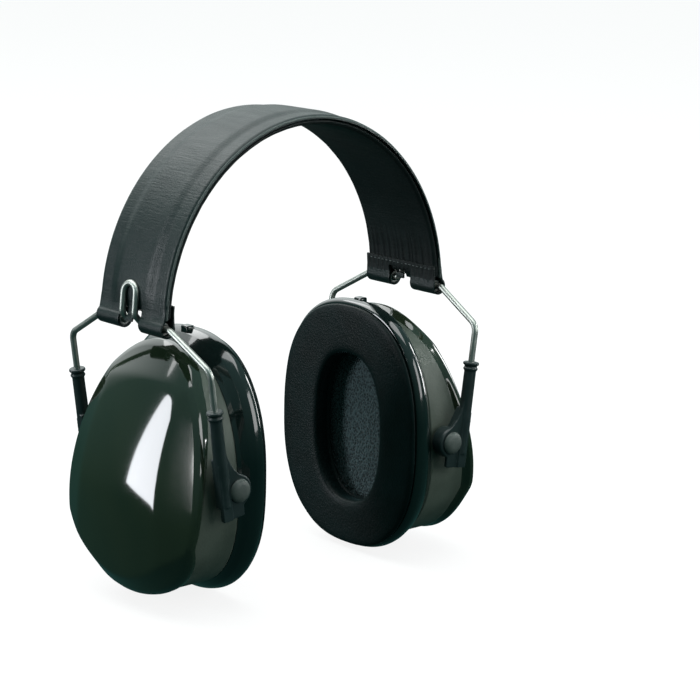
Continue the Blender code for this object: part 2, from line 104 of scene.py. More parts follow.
class Shader:
    """A Principled material with short-hand for its procedural nodes."""

    def __init__(self, name, **sockets):
        self.material = bpy.data.materials.new(name)
        self.material.use_nodes = True
        self.tree = self.material.node_tree
        self.bsdf = self.tree.nodes["Principled BSDF"]
        for key, value in sockets.items():
            socket = self.bsdf.inputs[key.replace("_", " ")]
            socket.default_value = value

    def node(self, kind, inputs=None, **settings):
        made = self.tree.nodes.new(kind)
        for key, value in settings.items():
            setattr(made, key, value)
        for key, value in (inputs or {}).items():
            if isinstance(value, bpy.types.NodeSocket):
                self.tree.links.new(value, made.inputs[key])
            else:
                made.inputs[key].default_value = value
        return made

    def coords(self, kind="Object", scale=(1, 1, 1)):
        source = self.node("ShaderNodeTexCoord").outputs[kind]
        return self.node(
            "ShaderNodeMapping", {"Vector": source, "Scale": scale}
        ).outputs["Vector"]

    def noise(self, vector, scale, detail=4.0, roughness=0.55):
        inputs = {"Vector": vector, "Scale": scale, "Detail": detail, "Roughness": roughness}
        return self.node("ShaderNodeTexNoise", inputs).outputs["Fac"]

    def cells(self, vector, scale, feature="F1"):
        inputs = {"Vector": vector, "Scale": scale}
        return self.node("ShaderNodeTexVoronoi", inputs, feature=feature).outputs["Distance"]

    def ramp(self, value, stops):
        made = self.node("ShaderNodeValToRGB", {"Fac": value})
        ramp = made.color_ramp
        while len(ramp.elements) < len(stops):
            ramp.elements.new(0.5)
        for element, (position, colour) in zip(ramp.elements, stops):
            element.position = position
            element.color = (*colour, 1.0)
        return made.outputs["Color"]

    def span(self, value, low, high):
        return self.node(
            "ShaderNodeMapRange", {"Value": value, "To Min": low, "To Max": high}
        ).outputs["Result"]

    def bump(self, height, strength, distance, normal=None):
        inputs = {"Height": height, "Strength": strength, "Distance": distance}
        if normal is not None:
            inputs["Normal"] = normal
        return self.node("ShaderNodeBump", inputs).outputs["Normal"]

    def link(self, output, socket):
        self.tree.links.new(output, self.bsdf.inputs[socket])


def leatherette(name, low, high, roughness, sheen):
    """Grained leatherette with fine creases running across the band."""
    made = Shader(
        name,
        Roughness=roughness,
        Specular_IOR_Level=0.28,
        Sheen_Weight=sheen,
        Sheen_Roughness=0.45,
        Sheen_Tint=(0.85, 0.84, 0.78, 1.0),
    )
    along = made.coords("UV")
    tone = made.noise(along, 45.0, 5.0)
    made.link(made.ramp(tone, [(0.30, low), (0.72, high)]), "Base Color")
    creases = made.noise(made.coords("UV", (1200, 120, 1)), 1.0, 5.0, 0.6)
    grain = made.cells(made.coords("UV", (1, 1, 1)), 1500.0)
    first = made.bump(creases, 0.80, 0.00022)
    made.link(made.bump(grain, 0.45, 0.00010, first), "Normal")
    wear = made.noise(made.coords("UV", (260, 60, 1)), 1.0, 4.0)
    made.link(made.span(wear, roughness - 0.10, roughness + 0.14), "Roughness")
    return made.material


def gloss_plastic(name, colour, alternate, roughness, coat):
    """Polished moulding with a faint ripple from the tool and a little dust."""
    made = Shader(name, Roughness=roughness, Coat_Weight=coat, Coat_Roughness=0.03, IOR=1.50)
    place = made.coords()
    tone = made.noise(place, 22.0, 2.0)
    made.link(made.ramp(tone, [(0.35, colour), (0.70, alternate)]), "Base Color")
    ripple = made.noise(place, 35.0, 1.0)
    made.link(made.bump(ripple, 0.10, 0.00012), "Normal")
    fine = made.noise(place, 900.0, 3.0)
    made.link(made.span(fine, roughness * 0.7, roughness * 1.5), "Roughness")
    return made.material


def satin_plastic(name, colour, alternate, roughness, grain, depth):
    """Moulded plastic with a spark-eroded grain."""
    made = Shader(name, Roughness=roughness, IOR=1.48)
    place = made.coords()
    tone = made.noise(place, 60.0, 3.0)
    made.link(made.ramp(tone, [(0.32, colour), (0.70, alternate)]), "Base Color")
    texture = made.noise(place, grain, 4.0, 0.65)
    made.link(made.bump(texture, 0.45, depth), "Normal")
    smudge = made.noise(place, 130.0, 3.0)
    made.link(made.span(smudge, roughness - 0.08, roughness + 0.12), "Roughness")
    return made.material


def vinyl():
    """The cushion's skin: soft vinyl with a pebbled grain and a cool sheen."""
    made = Shader(
        "cushion_vinyl",
        Roughness=0.48,
        Specular_IOR_Level=0.20,
        Sheen_Weight=0.12,
        Sheen_Roughness=0.30,
        Sheen_Tint=(0.40, 0.70, 0.75, 1.0),
    )
    place = made.coords()
    tone = made.noise(place, 70.0, 4.0)
    dark, light = (0.0006, 0.0058, 0.0054), (0.0020, 0.0115, 0.0115)
    made.link(made.ramp(tone, [(0.35, dark), (0.75, light)]), "Base Color")
    pebbles = made.cells(place, 1500.0, "SMOOTH_F1")
    pores = made.noise(place, 2600.0, 3.0)
    first = made.bump(pebbles, 0.60, 0.00017)
    made.link(made.bump(pores, 0.35, 0.00008, first), "Normal")
    patches = made.noise(place, 150.0, 3.0)
    made.link(made.span(patches, 0.40, 0.56), "Roughness")
    return made.material


def open_foam():
    """Dark reticulated foam with open cells."""
    made = Shader("open_foam", Roughness=0.95, Sheen_Weight=0.15)
    place = made.coords()
    cell = made.cells(place, 950.0)
    light, dark = (0.062, 0.100, 0.106), (0.004, 0.011, 0.012)
    made.link(made.ramp(cell, [(0.18, dark), (0.62, light)]), "Base Color")
    lumps = made.noise(place, 420.0, 5.0, 0.7)
    first = made.bump(cell, 0.9, 0.0006)
    made.link(made.bump(lumps, 0.6, 0.0004, first), "Normal")
    return made.material


def drawn_steel(name, colour, roughness):
    """Drawn wire or strip, with fine lines and a few dull patches."""
    made = Shader(name, Metallic=1.0, Roughness=roughness)
    place = made.coords()
    tone = made.noise(place, 180.0, 3.0)
    bright = tuple(min(1.0, value * 1.18) for value in colour)
    made.link(made.ramp(tone, [(0.30, colour), (0.70, bright)]), "Base Color")
    lines = made.noise(place, 1400.0, 2.0)
    made.link(made.bump(lines, 0.12, 0.00005), "Normal")
    made.link(made.span(tone, roughness - 0.06, roughness + 0.12), "Roughness")
    return made.material


def thread_material():
    made = Shader("thread", Roughness=0.7, Sheen_Weight=0.3)
    twist = made.noise(made.coords(), 3000.0, 2.0)
    tones = made.ramp(twist, [(0.3, (0.030, 0.045, 0.045)), (0.7, (0.110, 0.130, 0.125))])
    made.link(tones, "Base Color")
    made.link(made.bump(twist, 0.6, 0.0001), "Normal")
    return made.material


FINISH = {
    "cover": leatherette(
        "band_leatherette", (0.003, 0.012, 0.012), (0.008, 0.020, 0.019),
        0.36, 0.03,
    ),
    "lining": leatherette(
        "lining_leatherette", (0.002, 0.006, 0.006), (0.005, 0.012, 0.012),
        0.55, 0.04,
    ),
    # The welt's lighter colour is a painted highlight: a lighter copy of the band's leatherette
    # standing in for its lit edges.
    "welt": leatherette("edge_welt_painted_highlight", (0.060, 0.080, 0.076), (0.110, 0.135, 0.130), 0.40, 0.10),
    "thread": thread_material(),
    "wire": drawn_steel("stainless_wire", (0.40, 0.42, 0.39), 0.38),
    "spring": drawn_steel("spring_steel", (0.34, 0.34, 0.33), 0.38),
    "arm": satin_plastic(
        "arm_plastic", (0.010, 0.020, 0.020), (0.022, 0.036, 0.036),
        0.30, 900.0, 0.00010,
    ),
    "pin": satin_plastic(
        "pin_plastic", (0.050, 0.064, 0.058), (0.085, 0.105, 0.095),
        0.50, 1300.0, 0.00022,
    ),
    "shell": gloss_plastic("shell_gloss", (0.011, 0.021, 0.011), (0.018, 0.028, 0.014), 0.08, 1.0),
    "channel": satin_plastic(
        "shell_channel", (0.062, 0.078, 0.062), (0.098, 0.118, 0.096),
        0.38, 1100.0, 0.00016,
    ),
    "rim": gloss_plastic("rim_gloss", (0.003, 0.009, 0.008), (0.006, 0.014, 0.012), 0.12, 0.9),
    "plate": satin_plastic(
        "plate_plastic", (0.006, 0.011, 0.011), (0.014, 0.022, 0.022),
        0.5, 900.0, 0.0001,
    ),
    "cushion": vinyl(),
    "foam": open_foam(),
}


# ---------------------------------------------------------------- mesh helpers


def new_object(name, data, finishes):
    obj = bpy.data.objects.new(name, data)
    bpy.context.scene.collection.objects.link(obj)
    for finish in finishes:
        obj.data.materials.append(finish)
    return obj


def face_outwards(bm):
    bmesh.ops.recalc_face_normals(bm, faces=bm.faces)
    middle = sum((vert.co for vert in bm.verts), Vector()) / len(bm.verts)
    outward = 0.0
    for face in bm.faces:
        outward += face.normal.dot(face.calc_center_median() - middle) * face.calc_area()
    if outward < 0:
        bmesh.ops.reverse_faces(bm, faces=bm.faces)


def mesh_object(name, bm, *finishes, sharp=40):
    face_outwards(bm)
    mesh = bpy.data.meshes.new(name)
    bm.to_mesh(mesh)
    bm.free()
    mesh.shade_smooth()
    if sharp:
        mesh.set_sharp_from_angle(angle=math.radians(sharp))
    return new_object(name, mesh, finishes)


def loft(name, rings, finishes, joined=False, centre=None, slot_of=None, sharp=40):
    """A skin over closed rings of points; slot_of(row) picks the material of each row."""
    bm = bmesh.new()
    rows = [[bm.verts.new(point) for point in ring] for ring in rings]
    if joined:
        rows.append(rows[0])
    for number, (near, far) in enumerate(zip(rows, rows[1:])):
        for k in range(len(near)):
            after = (k + 1) % len(near)
            face = bm.faces.new((near[k], near[after], far[after], far[k]))
            if slot_of:
                face.material_index = slot_of(number)
    if centre is not None:
        tip = bm.verts.new(centre)
        for k in range(len(rows[-1])):
            bm.faces.new((rows[-1][k], rows[-1][(k + 1) % len(rows[-1])], tip))
    return mesh_object(name, bm, *finishes, sharp=sharp)


def sheet(name, rows, uvs, thickness, offset, finishes, skip=None, slot_of=None):
    """A skin over a grid of points with UVs in metres, made solid. skip(i, j) leaves out
    a cell and slot_of(i) picks the material of each row."""
    bm = bmesh.new()
    layer = bm.loops.layers.uv.new("metres")
    grid = [[bm.verts.new(point) for point in row] for row in rows]
    for i in range(len(grid) - 1):
        for j in range(len(grid[0]) - 1):
            if skip and skip(i, j):
                continue
            corners = ((i, j), (i + 1, j), (i + 1, j + 1), (i, j + 1))
            face = bm.faces.new([grid[a][b] for a, b in corners])
            face.material_index = slot_of(i) if slot_of else 0
            for loop, (a, b) in zip(face.loops, corners):
                loop[layer].uv = uvs[a][b]
    loose = [vert for vert in bm.verts if not vert.link_faces]
    bmesh.ops.delete(bm, geom=loose, context="VERTS")
    mesh = bpy.data.meshes.new(name)
    bm.to_mesh(mesh)
    bm.free()
    mesh.shade_smooth()
    obj = new_object(name, mesh, finishes)
    solid = obj.modifiers.new("Thickness", "SOLIDIFY")
    solid.thickness = thickness
    solid.offset = offset
    solid.use_even_offset = False
    return obj


def turned_bm(bm, profile, place, segments=40):
    """Add a turned solid to bm: (radius, height) pairs about the Z axis of place."""
    rings = []
    for radius, height in profile:
        if radius == 0:
            rings.append([bm.verts.new(place @ Vector((0, 0, height)))])
            continue
        ring = []
        for k in range(segments):
            turn = 2 * math.pi * k / segments
            spot = Vector((radius * math.cos(turn), radius * math.sin(turn), height))
            ring.append(bm.verts.new(place @ spot))
        rings.append(ring)
    for near, far in zip(rings, rings[1:]):
        for k in range(segments):
            after = (k + 1) % segments
            corners = (
                near[k % len(near)],
                near[after % len(near)],
                far[after % len(far)],
                far[k % len(far)],
            )
            bm.faces.new(list(dict.fromkeys(corners)))


def box_bm(bm, low, high, place):
    made = bmesh.ops.create_cube(bm, size=1.0)
    low, high = Vector(low), Vector(high)
    size = Matrix.Diagonal((*(high - low), 1.0))
    bmesh.ops.transform(
        bm, matrix=place @ Matrix.Translation((low + high) / 2) @ size, verts=made["verts"]
    )


def plank_bm(bm, outline, ys, place):
    """Add a flat plank: an outline of (x, z) points, thick from one y to another."""
    sides = [[bm.verts.new(place @ Vector((x, y, z))) for x, z in outline] for y in ys]
    bm.faces.new(sides[0])
    bm.faces.new(sides[1][::-1])
    for k in range(len(outline)):
        after = (k + 1) % len(outline)
        bm.faces.new((sides[0][k], sides[0][after], sides[1][after], sides[1][k]))


def applied(obj):
    """The object with its modifiers made part of its mesh."""
    bpy.context.view_layer.update()
    graph = bpy.context.evaluated_depsgraph_get()
    mesh = bpy.data.meshes.new_from_object(obj.evaluated_get(graph), depsgraph=graph)
    obj.modifiers.clear()
    old, obj.data = obj.data, mesh
    bpy.data.meshes.remove(old)
    return obj


def moulded(obj, voxel, rounds):
    """Fuse overlapping solids into one moulding with softened edges."""
    remesh = obj.modifiers.new("Fuse", "REMESH")
    remesh.mode = "VOXEL"
    remesh.voxel_size = voxel
    smooth = obj.modifiers.new("Soften", "SMOOTH")
    smooth.factor = 0.5
    smooth.iterations = rounds
    applied(obj)
    obj.data.shade_smooth()
    return obj


def catmull(points, steps):
    """A smooth closed curve through points of any dimension."""
    out = []
    count = len(points)
    for k in range(count):
        around = [points[(k + shift) % count] for shift in (-1, 0, 1, 2)]
        for step in range(steps):
            t = step / steps
            weights = (
                -0.5 * t + t * t - 0.5 * t**3,
                1 - 2.5 * t * t + 1.5 * t**3,
                0.5 * t + 2 * t * t - 1.5 * t**3,
                -0.5 * t * t + 0.5 * t**3,
            )
            axes = range(len(points[0]))
            out.append(tuple(sum(w * p[i] for w, p in zip(weights, around)) for i in axes))
    return out


def softened(points, reach):
    """The corners of a closed section cut back to small rounds of three points."""
    out = []
    count = len(points)
    for k, corner in enumerate(points):
        here = Vector(corner)
        before, after = Vector(points[k - 1]), Vector(points[(k + 1) % count])
        a = here.lerp(before, min(0.45, reach / max((before - here).length, 1e-9)))
        b = here.lerp(after, min(0.45, reach / max((after - here).length, 1e-9)))
        out += [tuple(a), tuple((a + b + 2 * here) / 4), tuple(b)]
    return out


def rounded_path(corners, steps=12):
    """A path through (corner, radius) pairs, with an arc at each corner."""
    points = []
    last = len(corners) - 1
    for k, (corner, radius) in enumerate(corners):
        corner = Vector(corner)
        if k in (0, last) or radius == 0:
            points.append(corner)
            continue
        back = (Vector(corners[k - 1][0]) - corner).normalized()
        ahead = (Vector(corners[k + 1][0]) - corner).normalized()
        half = back.angle(ahead) / 2
        reach = radius / math.tan(half)
        centre = corner + (back + ahead).normalized() * (radius / math.sin(half))
        first, final = corner + back * reach - centre, corner + ahead * reach - centre
        sweep = first.angle(final)
        for step in range(steps + 1):
            share = step / steps
            weight = math.sin((1 - share) * sweep), math.sin(share * sweep)
            points.append(centre + (first * weight[0] + final * weight[1]) / math.sin(sweep))
    return points


def tube(name, points, radius, finish, resolution):
    curve = bpy.data.curves.new(name, "CURVE")
    curve.dimensions = "3D"
    curve.bevel_depth = radius
    curve.bevel_resolution = resolution
    curve.use_fill_caps = True
    spline = curve.splines.new("POLY")
    spline.points.add(len(points) - 1)
    for slot, point in zip(spline.points, points):
        slot.co = (*point, 1.0)
    return new_object(name, curve, [finish])


def smoothstep(low, high, value):
    share = min(1.0, max(0.0, (value - low) / (high - low)))
    return share * share * (3 - 2 * share)


# ---------------------------------------------------------------- the headband


def arch(angle):
    """(point, outward normal) on the band's outer face, in XZ."""
    x, z = ARCH_HALF_WIDTH * math.sin(angle), ARCH_RISE * math.cos(angle)
    normal = Vector((x / ARCH_HALF_WIDTH**2, z / ARCH_RISE**2)).normalized()
    return Vector((x, z + HEM.z)), normal


def arch_stations(depth, foot, count):
    """(point, normal) along the arch, right half, from the crown to a height over the hem."""
    reach = math.acos(foot / ARCH_RISE)
    out = []
    for k in range(count + 1):
        point, normal = arch(reach * k / count)
        out.append((point - normal * depth, normal))
    return out


def mirrored(stations):
    """The whole band's stations from its right half's."""
    left = [(Vector((-p.x, p.y)), Vector((-n.x, n.y))) for p, n in stations[:0:-1]]
    return left + stations


def lengths(stations):
    total, out = 0.0, [0.0]
    for (a, _), (b, _) in zip(stations, stations[1:]):
        total += (b - a).length
        out.append(total)
    return out


def outer_face(height):
    """Half the arch's width at a height over the hem."""
    return ARCH_HALF_WIDTH * math.sqrt(1 - (height / ARCH_RISE) ** 2)


def cover_stations():
    """The cover's inner face: over the crown, round the hem and up to the sewn flap."""
    half = arch_stations(COVER, 0.0055, 90)
    for degrees in range(60, -201, -13):
        angle = math.radians(degrees)
        normal = Vector((math.cos(angle), math.sin(angle)))
        half.append((Vector((HEM.x, HEM.z)) + normal * HEM_RADIUS, normal))
    for height in (0.0028, 0.0040, 0.0055, 0.0070, 0.0085):
        face = outer_face(height) - BAND_THICKNESS
        half.append((Vector((face - 0.0003, HEM.z + height)), Vector((-1.0, 0.0))))
    return mirrored(half)


# From the band's middle to its edge: how many columns in a run, and how wide each is
COLUMN_RUNS = (
    (10, 0.0007),
    (5, 0.0006),
    (8, 0.0005),
    (7, 0.0006),
    (1, 0.0005),
    (1, 0.0004),
    (3, 0.0003),
)


def band_columns():
    """Columns across the band, closest where the padding ends and at the edges."""
    half = [0.0]
    for count, width in COLUMN_RUNS:
        for _ in range(count):
            half.append(round(half[-1] + width, 4))
    return [-y for y in half[:0:-1]] + half


def cover_swell(y):
    """How far the padded cover stands out across its width: a soft ridge between flat borders."""
    y = abs(y)
    ridge = 0.00085 * (1 - smoothstep(0.0085, 0.0138, y)) + 0.00020 * (1 - (y / BAND_HALF) ** 2)
    return ridge - 0.0012 * smoothstep(0.0188, 0.0202, y) ** 2


def band_cover():
    stations = cover_stations()
    along = lengths(stations)
    ys = band_columns()
    rows, uvs, heights, outsides = [], [], [], []
    for (point, normal), far in zip(stations, along):
        height = point.y - HEM.z
        outer = normal.x * point.x > 0 or normal.y > 0.3
        fade = smoothstep(0.003, 0.014, height) if outer else 0.0
        row, uv = [], []
        for y in ys:
            swell = cover_swell(y) * fade
            wander = noise.noise(Vector((point.x * 90, y * 160, point.y * 90)))
            swell += 0.00007 * wander * fade
            if not outer and height > 0.0035:
                swell += 0.00020 * math.sin(y * 2 * math.pi / FLAP_PITCH + 4 * wander)
            spot = point + normal * swell
            row.append(Vector((spot.x, y, spot.y)))
            uv.append((far, y))
        rows.append(row)
        uvs.append(uv)
        heights.append(height)
        outsides.append(outer)

    def notch(i, j):
        across, height = abs(ys[j] + ys[j + 1]) / 2, (heights[i] + heights[i + 1]) / 2
        tongue = across < TONGUE_HALF and outsides[i] and height > 0.0004
        return across < NOTCH_HALF and height < NOTCH_TOP and not tongue

    finishes = [FINISH["cover"], FINISH["lining"]]
    flap = [0 if outer or height < 0.0010 else 1 for outer, height in zip(outsides, heights)]
    cover = sheet("band_cover_sewn", rows, uvs, COVER, 1.0, finishes, notch, flap.__getitem__)
    bevel = cover.modifiers.new("Soft edge", "BEVEL")
    bevel.width = 0.00025
    bevel.segments = 2
    bevel.limit_method = "ANGLE"
    bevel.angle_limit = math.radians(50)
    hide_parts("band_cover")
    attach(cover, "headband")


def band_lining():
    stations = mirrored(arch_stations(BAND_THICKNESS, 0.0040, 110))
    along = lengths(stations)
    ys = [-BAND_HALF + 2 * BAND_HALF * k / 90 for k in range(91)]
    rows, uvs = [], []
    for (point, normal), far in zip(stations, along):
        height = point.y - HEM.z
        gather = 1 - smoothstep(0.010, 0.026, height)
        row, uv = [], []
        for y in ys:
            side = 1 if point.x > 0 else -1
            phase = noise.noise(Vector((y * 300, side * 3.0, 0.5)))
            ripple = math.sin(y * 2 * math.pi / GATHER_PITCH + 4.0 * phase)
            lift = 0.00028 * gather * ripple - 0.00010
            puff = 0.00035 * (1 - (abs(y) / BAND_HALF) ** 4)
            lift -= puff * smoothstep(0.012, 0.030, height)
            lift += 0.0013 * smoothstep(0.0184, 0.0202, abs(y)) ** 2
            lift += 0.00010 * noise.noise(Vector((far * 220, y * 60, 2.0)))
            spot = point + normal * lift
            row.append(Vector((spot.x, y, spot.y)))
            uv.append((far, y))
        rows.append(row)
        uvs.append(uv)
    lining = sheet("band_lining_gathered", rows, uvs, 0.0006, 1.0, [FINISH["lining"]])
    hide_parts("band_lining")
    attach(lining, "headband")


def edge_welts():
    """The bound edges of the band, coloured as a lighter copy of its leatherette: a painted
    highlight along the band's lit edges.
    """
    for word, y in (("front", -0.01995), ("rear", 0.01995)):
        stations = mirrored(arch_stations(0.00105, 0.0036, 110))
        points = [Vector((p.x, y, p.y)) for p, n in stations]
        welt = tube(f"edge_welt_painted_highlight_{word}", points, 0.00062, FINISH["welt"], 3)
        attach(welt, "headband")


def stitches(name, spots, radius):
    """Short stitches, each from one spot to another."""
    bm = bmesh.new()
    for start, end in spots:
        along = end - start
        turn = along.to_track_quat("Z", "Y").to_matrix().to_4x4()
        place = Matrix.Translation(start) @ turn
        span = along.length
        profile = [
            (0, 0),
            (radius * 0.8, span * 0.12),
            (radius, span * 0.35),
            (radius, span * 0.65),
            (radius * 0.8, span * 0.88),
            (0, span),
        ]
        turned_bm(bm, profile, place, 8)
    made = mesh_object(name, bm, FINISH["thread"], sharp=0)
    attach(made, "headband")


def hem_stitches():
    for word, side in (("left", -1), ("right", 1)):
        spots = []
        height = 0.0072
        face = outer_face(height) - BAND_THICKNESS
        y = -0.0184
        while y < 0.0180:
            start = Vector((side * (face - 0.00115), y, HEM.z + height))
            spots.append((start, start + Vector((0, STITCH_LENGTH, 0))))
            y += STITCH_PITCH
        stitches(f"{word}_hem_stitches", spots, 0.00022)


# ---------------------------------------------------------------- yokes, arms and pins


def yoke_point(side, down, y):
    """A point in the yoke's leaning plane, some way down its legs from the hem."""
    lean = side * YOKE_LEAN
    return Vector((side * HEM.x - down * math.sin(lean), y, HEM.z - down * math.cos(lean)))


def loop_point(side, height, y):
    """A point of the hairpin loop that lies on the band's outer face."""
    face = outer_face(height)
    return Vector((side * (face + WIRE_RADIUS + 0.00025), y, HEM.z + height))


def wire_yoke(side, word):
    arc_start = LOOP_HEIGHT - LOOP_HALF
    front = rounded_path(
        [
            (yoke_point(side, LEG_END, -LEG_Y), 0),
            (yoke_point(side, 0.0120, -LEG_Y), 0.0050),
            (yoke_point(side, 0, -BAND_HALF - 0.0012), 0.0040),
            (yoke_point(side, 0, -LOOP_HALF), 0.0020),
            (loop_point(side, 0.0034, -LOOP_HALF), 0.0020),
            (loop_point(side, arc_start, -LOOP_HALF), 0),
        ]
    )
    arc = []
    for k in range(1, 20):
        angle = math.pi * k / 20
        height = arc_start + LOOP_HALF * math.sin(angle)
        arc.append(loop_point(side, height, -LOOP_HALF * math.cos(angle)))
    rear = [Vector((p.x, -p.y, p.z)) for p in reversed(front)]
    made = tube(f"{word}_yoke_wire", front + arc + rear, WIRE_RADIUS, FINISH["wire"], 6)
    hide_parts(f"{word}_wire_yoke")
    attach(made, f"{word}_yoke")


def arm(side, word, end, place_word):
    """One moulding: collar, sleeve, flat tail and the eye that the pin goes through."""
    y = end * LEG_Y
    lean = Matrix.Rotation(side * YOKE_LEAN, 4, "Y")
    top = Matrix.Translation(yoke_point(side, ARM_TOP, y)) @ lean
    length = ARM_BOTTOM - ARM_TOP
    bm = bmesh.new()
    sleeve = [
        (0, 0),
        (0.0029, 0),
        (0.0032, -0.0003),
        (0.0032, -0.0011),
        (0.0025, -0.0014),
        (0.0025, -0.0022),
        (0.0029, -0.0024),
        (0.0029, -0.0031),
        (0.0024, -0.0035),
        (0.0025, -length + 0.0200),
        (0.0022, -length + 0.0120),
        (0.0022, -length + 0.0054),
        (0, -length + 0.0054),
    ]
    turned_bm(bm, sleeve, top)
    pivot = Vector((side * PIVOT.x, 0, PIVOT.z))
    tail = Matrix.Translation(pivot) @ lean
    web = [
        (0.0064, 0.0190),
        (0.0046, 0.0185),
        (0.0036, 0.0140),
        (0.0018, 0.0095),
        (-0.0006, 0.0064),
        (-0.0030, 0.0048),
        (-0.0034, -0.0045),
        (-0.0016, -0.0060),
        (-0.0014, -0.0097),
        (-0.0010, -0.0101),
        (0.0064, -0.0101),
    ]
    rib = [(0.0043, 0.0120), (0.0043, -0.0101), (0.0086, -0.0101), (0.0086, 0.0120)]
    core = [
        (0.0087, 0.0140),
        (0.0038, 0.0140),
        (0.0000, 0.0060),
        (0.0000, -0.0050),
        (0.0087, -0.0050),
    ]
    for outline, back, face in (
        (web, 0.0429, ARM_FACE),
        (rib, 0.0429, 0.0449),
        (core, 0.0407, ARM_FACE),
    ):
        outline = [(side * x, z) for x, z in outline]
        plank_bm(bm, outline, (end * back, end * face), tail)
    turn = Matrix.Translation(pivot) @ Matrix.Rotation(-end * math.pi / 2, 4, "X")
    eye = [
        (0, 0.0389),
        (0.0056, 0.0389),
        (0.0060, 0.0393),
        (0.0060, 0.0437),
        (0.0056, ARM_FACE),
        (0, ARM_FACE),
    ]
    turned_bm(bm, eye, turn)
    made = mesh_object(f"{word}_{place_word}_arm_moulding", bm, FINISH["arm"])
    moulded(made, 0.00022, 4)
    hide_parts(f"{word}_{place_word}_arm")
    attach(made, f"{word}_arms")


def pin(side, word, end, place_word):
    """The snap pin, with a slightly domed button and a fine lip."""
    face = 0.0446
    profile = [
        (0, face + 0.00195),
        (0.0012, face + 0.00193),
        (0.0024, face + 0.00180),
        (0.0033, face + 0.00155),
        (0.0039, face + 0.00118),
        (0.0043, face + 0.00070),
        (0.0045, face + 0.00025),
        (0.0044, face),
        (0.0020, face),
        (0.0020, 0.0352),
        (0.0026, 0.0352),
        (0.0020, 0.0340),
        (0, 0.0340),
    ]
    bm = bmesh.new()
    pivot = Vector((side * PIVOT.x, 0, PIVOT.z))
    turn = Matrix.Translation(pivot) @ Matrix.Rotation(-end * math.pi / 2, 4, "X")
    turned_bm(bm, profile, turn, 56)
    made = mesh_object(f"{word}_{place_word}_snap_pin", bm, FINISH["pin"])
    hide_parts(f"{word}_{place_word}_pivot_pin")
    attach(made, f"{word}_pins")


# ---------------------------------------------------------------- ear cups

CHANNEL = (0.0375, 0.0465, 0.0455, 0.08)
DOME = (0.0395, 0.0490, 0.0463, 0.147)
DOME_EDGE = 0.00265
DOME_CREASE = 0.00020
AROUND = 208
# The dome's face: its height, where it crowns, and how fast it falls away
FACE_RISE, FACE_CENTRE, FACE_CROWN_V, FACE_CROWN_Y = 0.0257, -0.0190, 4.6, 3.7
# The side facets: where they start, their slope and their curve
SIDE_START, SIDE_SLOPE, SIDE_CURVE = 0.0241, 0.40, 0.5
# The top and bottom facets: rise at an edge height, that height, slope and curve
TOP_FACET = (0.0082, 0.0410, -0.75, 5.0)
BOTTOM_FACET = (0.0253, -0.0370, 0.77, 14.4)


def narrowing(height, taper):
    """The share of its width that a tapered outline keeps at a height."""
    return 1 - taper * height / 0.047


def oval(half_width, top, bottom, taper=0.0, power=2.4):
    """A rounded outline as (y, height) points; taper narrows it towards the top."""
    points = []
    for k in range(AROUND):
        angle = 2 * math.pi * k / AROUND
        c, s = math.cos(angle), math.sin(angle)
        reach = top if s > 0 else bottom
        height = reach * math.copysign(abs(s) ** (2 / power), s)
        y = half_width * math.copysign(abs(c) ** (2 / power), c)
        points.append((y * narrowing(height, taper), height))
    return points


def dome_rise(y, height):
    """The CAD dome's facets, with crisper creases."""
    y = abs(y) / narrowing(height, DOME[3])
    face = FACE_RISE - FACE_CROWN_V * (height - FACE_CENTRE) ** 2
    beyond = y - SIDE_START
    side = SIDE_SLOPE * beyond + SIDE_CURVE * beyond * abs(beyond)
    facets = [face - FACE_CROWN_Y * y**2, face - FACE_CROWN_Y * SIDE_START**2 - side]
    for rise, edge, slope, curve in (TOP_FACET, BOTTOM_FACET):
        facets.append(rise + slope * (height - edge) - curve * y**2)
    lowest = min(facets)
    total = sum(math.exp((lowest - facet) / DOME_CREASE) for facet in facets)
    return lowest - DOME_CREASE * math.log(total)


def cup_point(side, rise, y, height):
    """A point of a cup: rise is measured outwards from the pivots."""
    return Vector((side * (PIVOT.x + rise), y, PIVOT.z + height))


def ring(side, outline, rise):
    return [cup_point(side, rise, y, v) for y, v in outline]


def cup_shell(side, word):
    channel, edge = oval(*CHANNEL), oval(*DOME, 2.2)
    rises = [dome_rise(y, v) for y, v in edge]

    def blended(share, back, corner=0.0):
        out = []
        for (cy, cv), (ey, ev), r in zip(channel, edge, rises):
            y, v = cy + (ey - cy) * share, cv + (ev - cv) * share
            out.append(cup_point(side, r - back, y * (1 - corner), v * (1 - corner)))
        return out

    rings = [ring(side, channel, -0.0046), ring(side, channel, -0.0040)]
    for share in (0.25, 0.5, 0.75, 1.0):
        start = -0.0040
        rings.append(
            [
                cup_point(side, start + (r - DOME_EDGE - 0.0022 - start) * share, y, v)
                for (y, v), r in zip(channel, rises)
            ]
        )
    matt = len(rings) - 1
    rings.append(blended(0.25, DOME_EDGE + 0.0014))
    rings.append(blended(0.80, DOME_EDGE + 0.0005))
    rings.append(blended(1.0, DOME_EDGE))
    rings.append(blended(1.0, DOME_EDGE * 0.62, -0.002))
    rings.append(blended(1.0, DOME_EDGE * 0.28, 0.002))
    for step in range(1, 49):
        share = (1 - step / 49) ** 0.9 * 0.985
        inner = [(y * share, v * share) for y, v in edge]
        rings.append([cup_point(side, dome_rise(y, v), y, v) for y, v in inner])
    centre = cup_point(side, dome_rise(0, 0), 0, 0)
    finishes = [FINISH["shell"], FINISH["channel"]]
    shell = loft(
        f"{word}_cup_moulding",
        rings,
        finishes,
        centre=centre,
        slot_of=lambda row: 1 if row < matt else 0,
        sharp=24,
    )
    wall = shell.modifiers.new("Wall", "SOLIDIFY")
    wall.thickness = 0.0014
    wall.offset = -1.0
    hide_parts(f"{word}_cup_shell")
    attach(shell, f"{word}_cup")


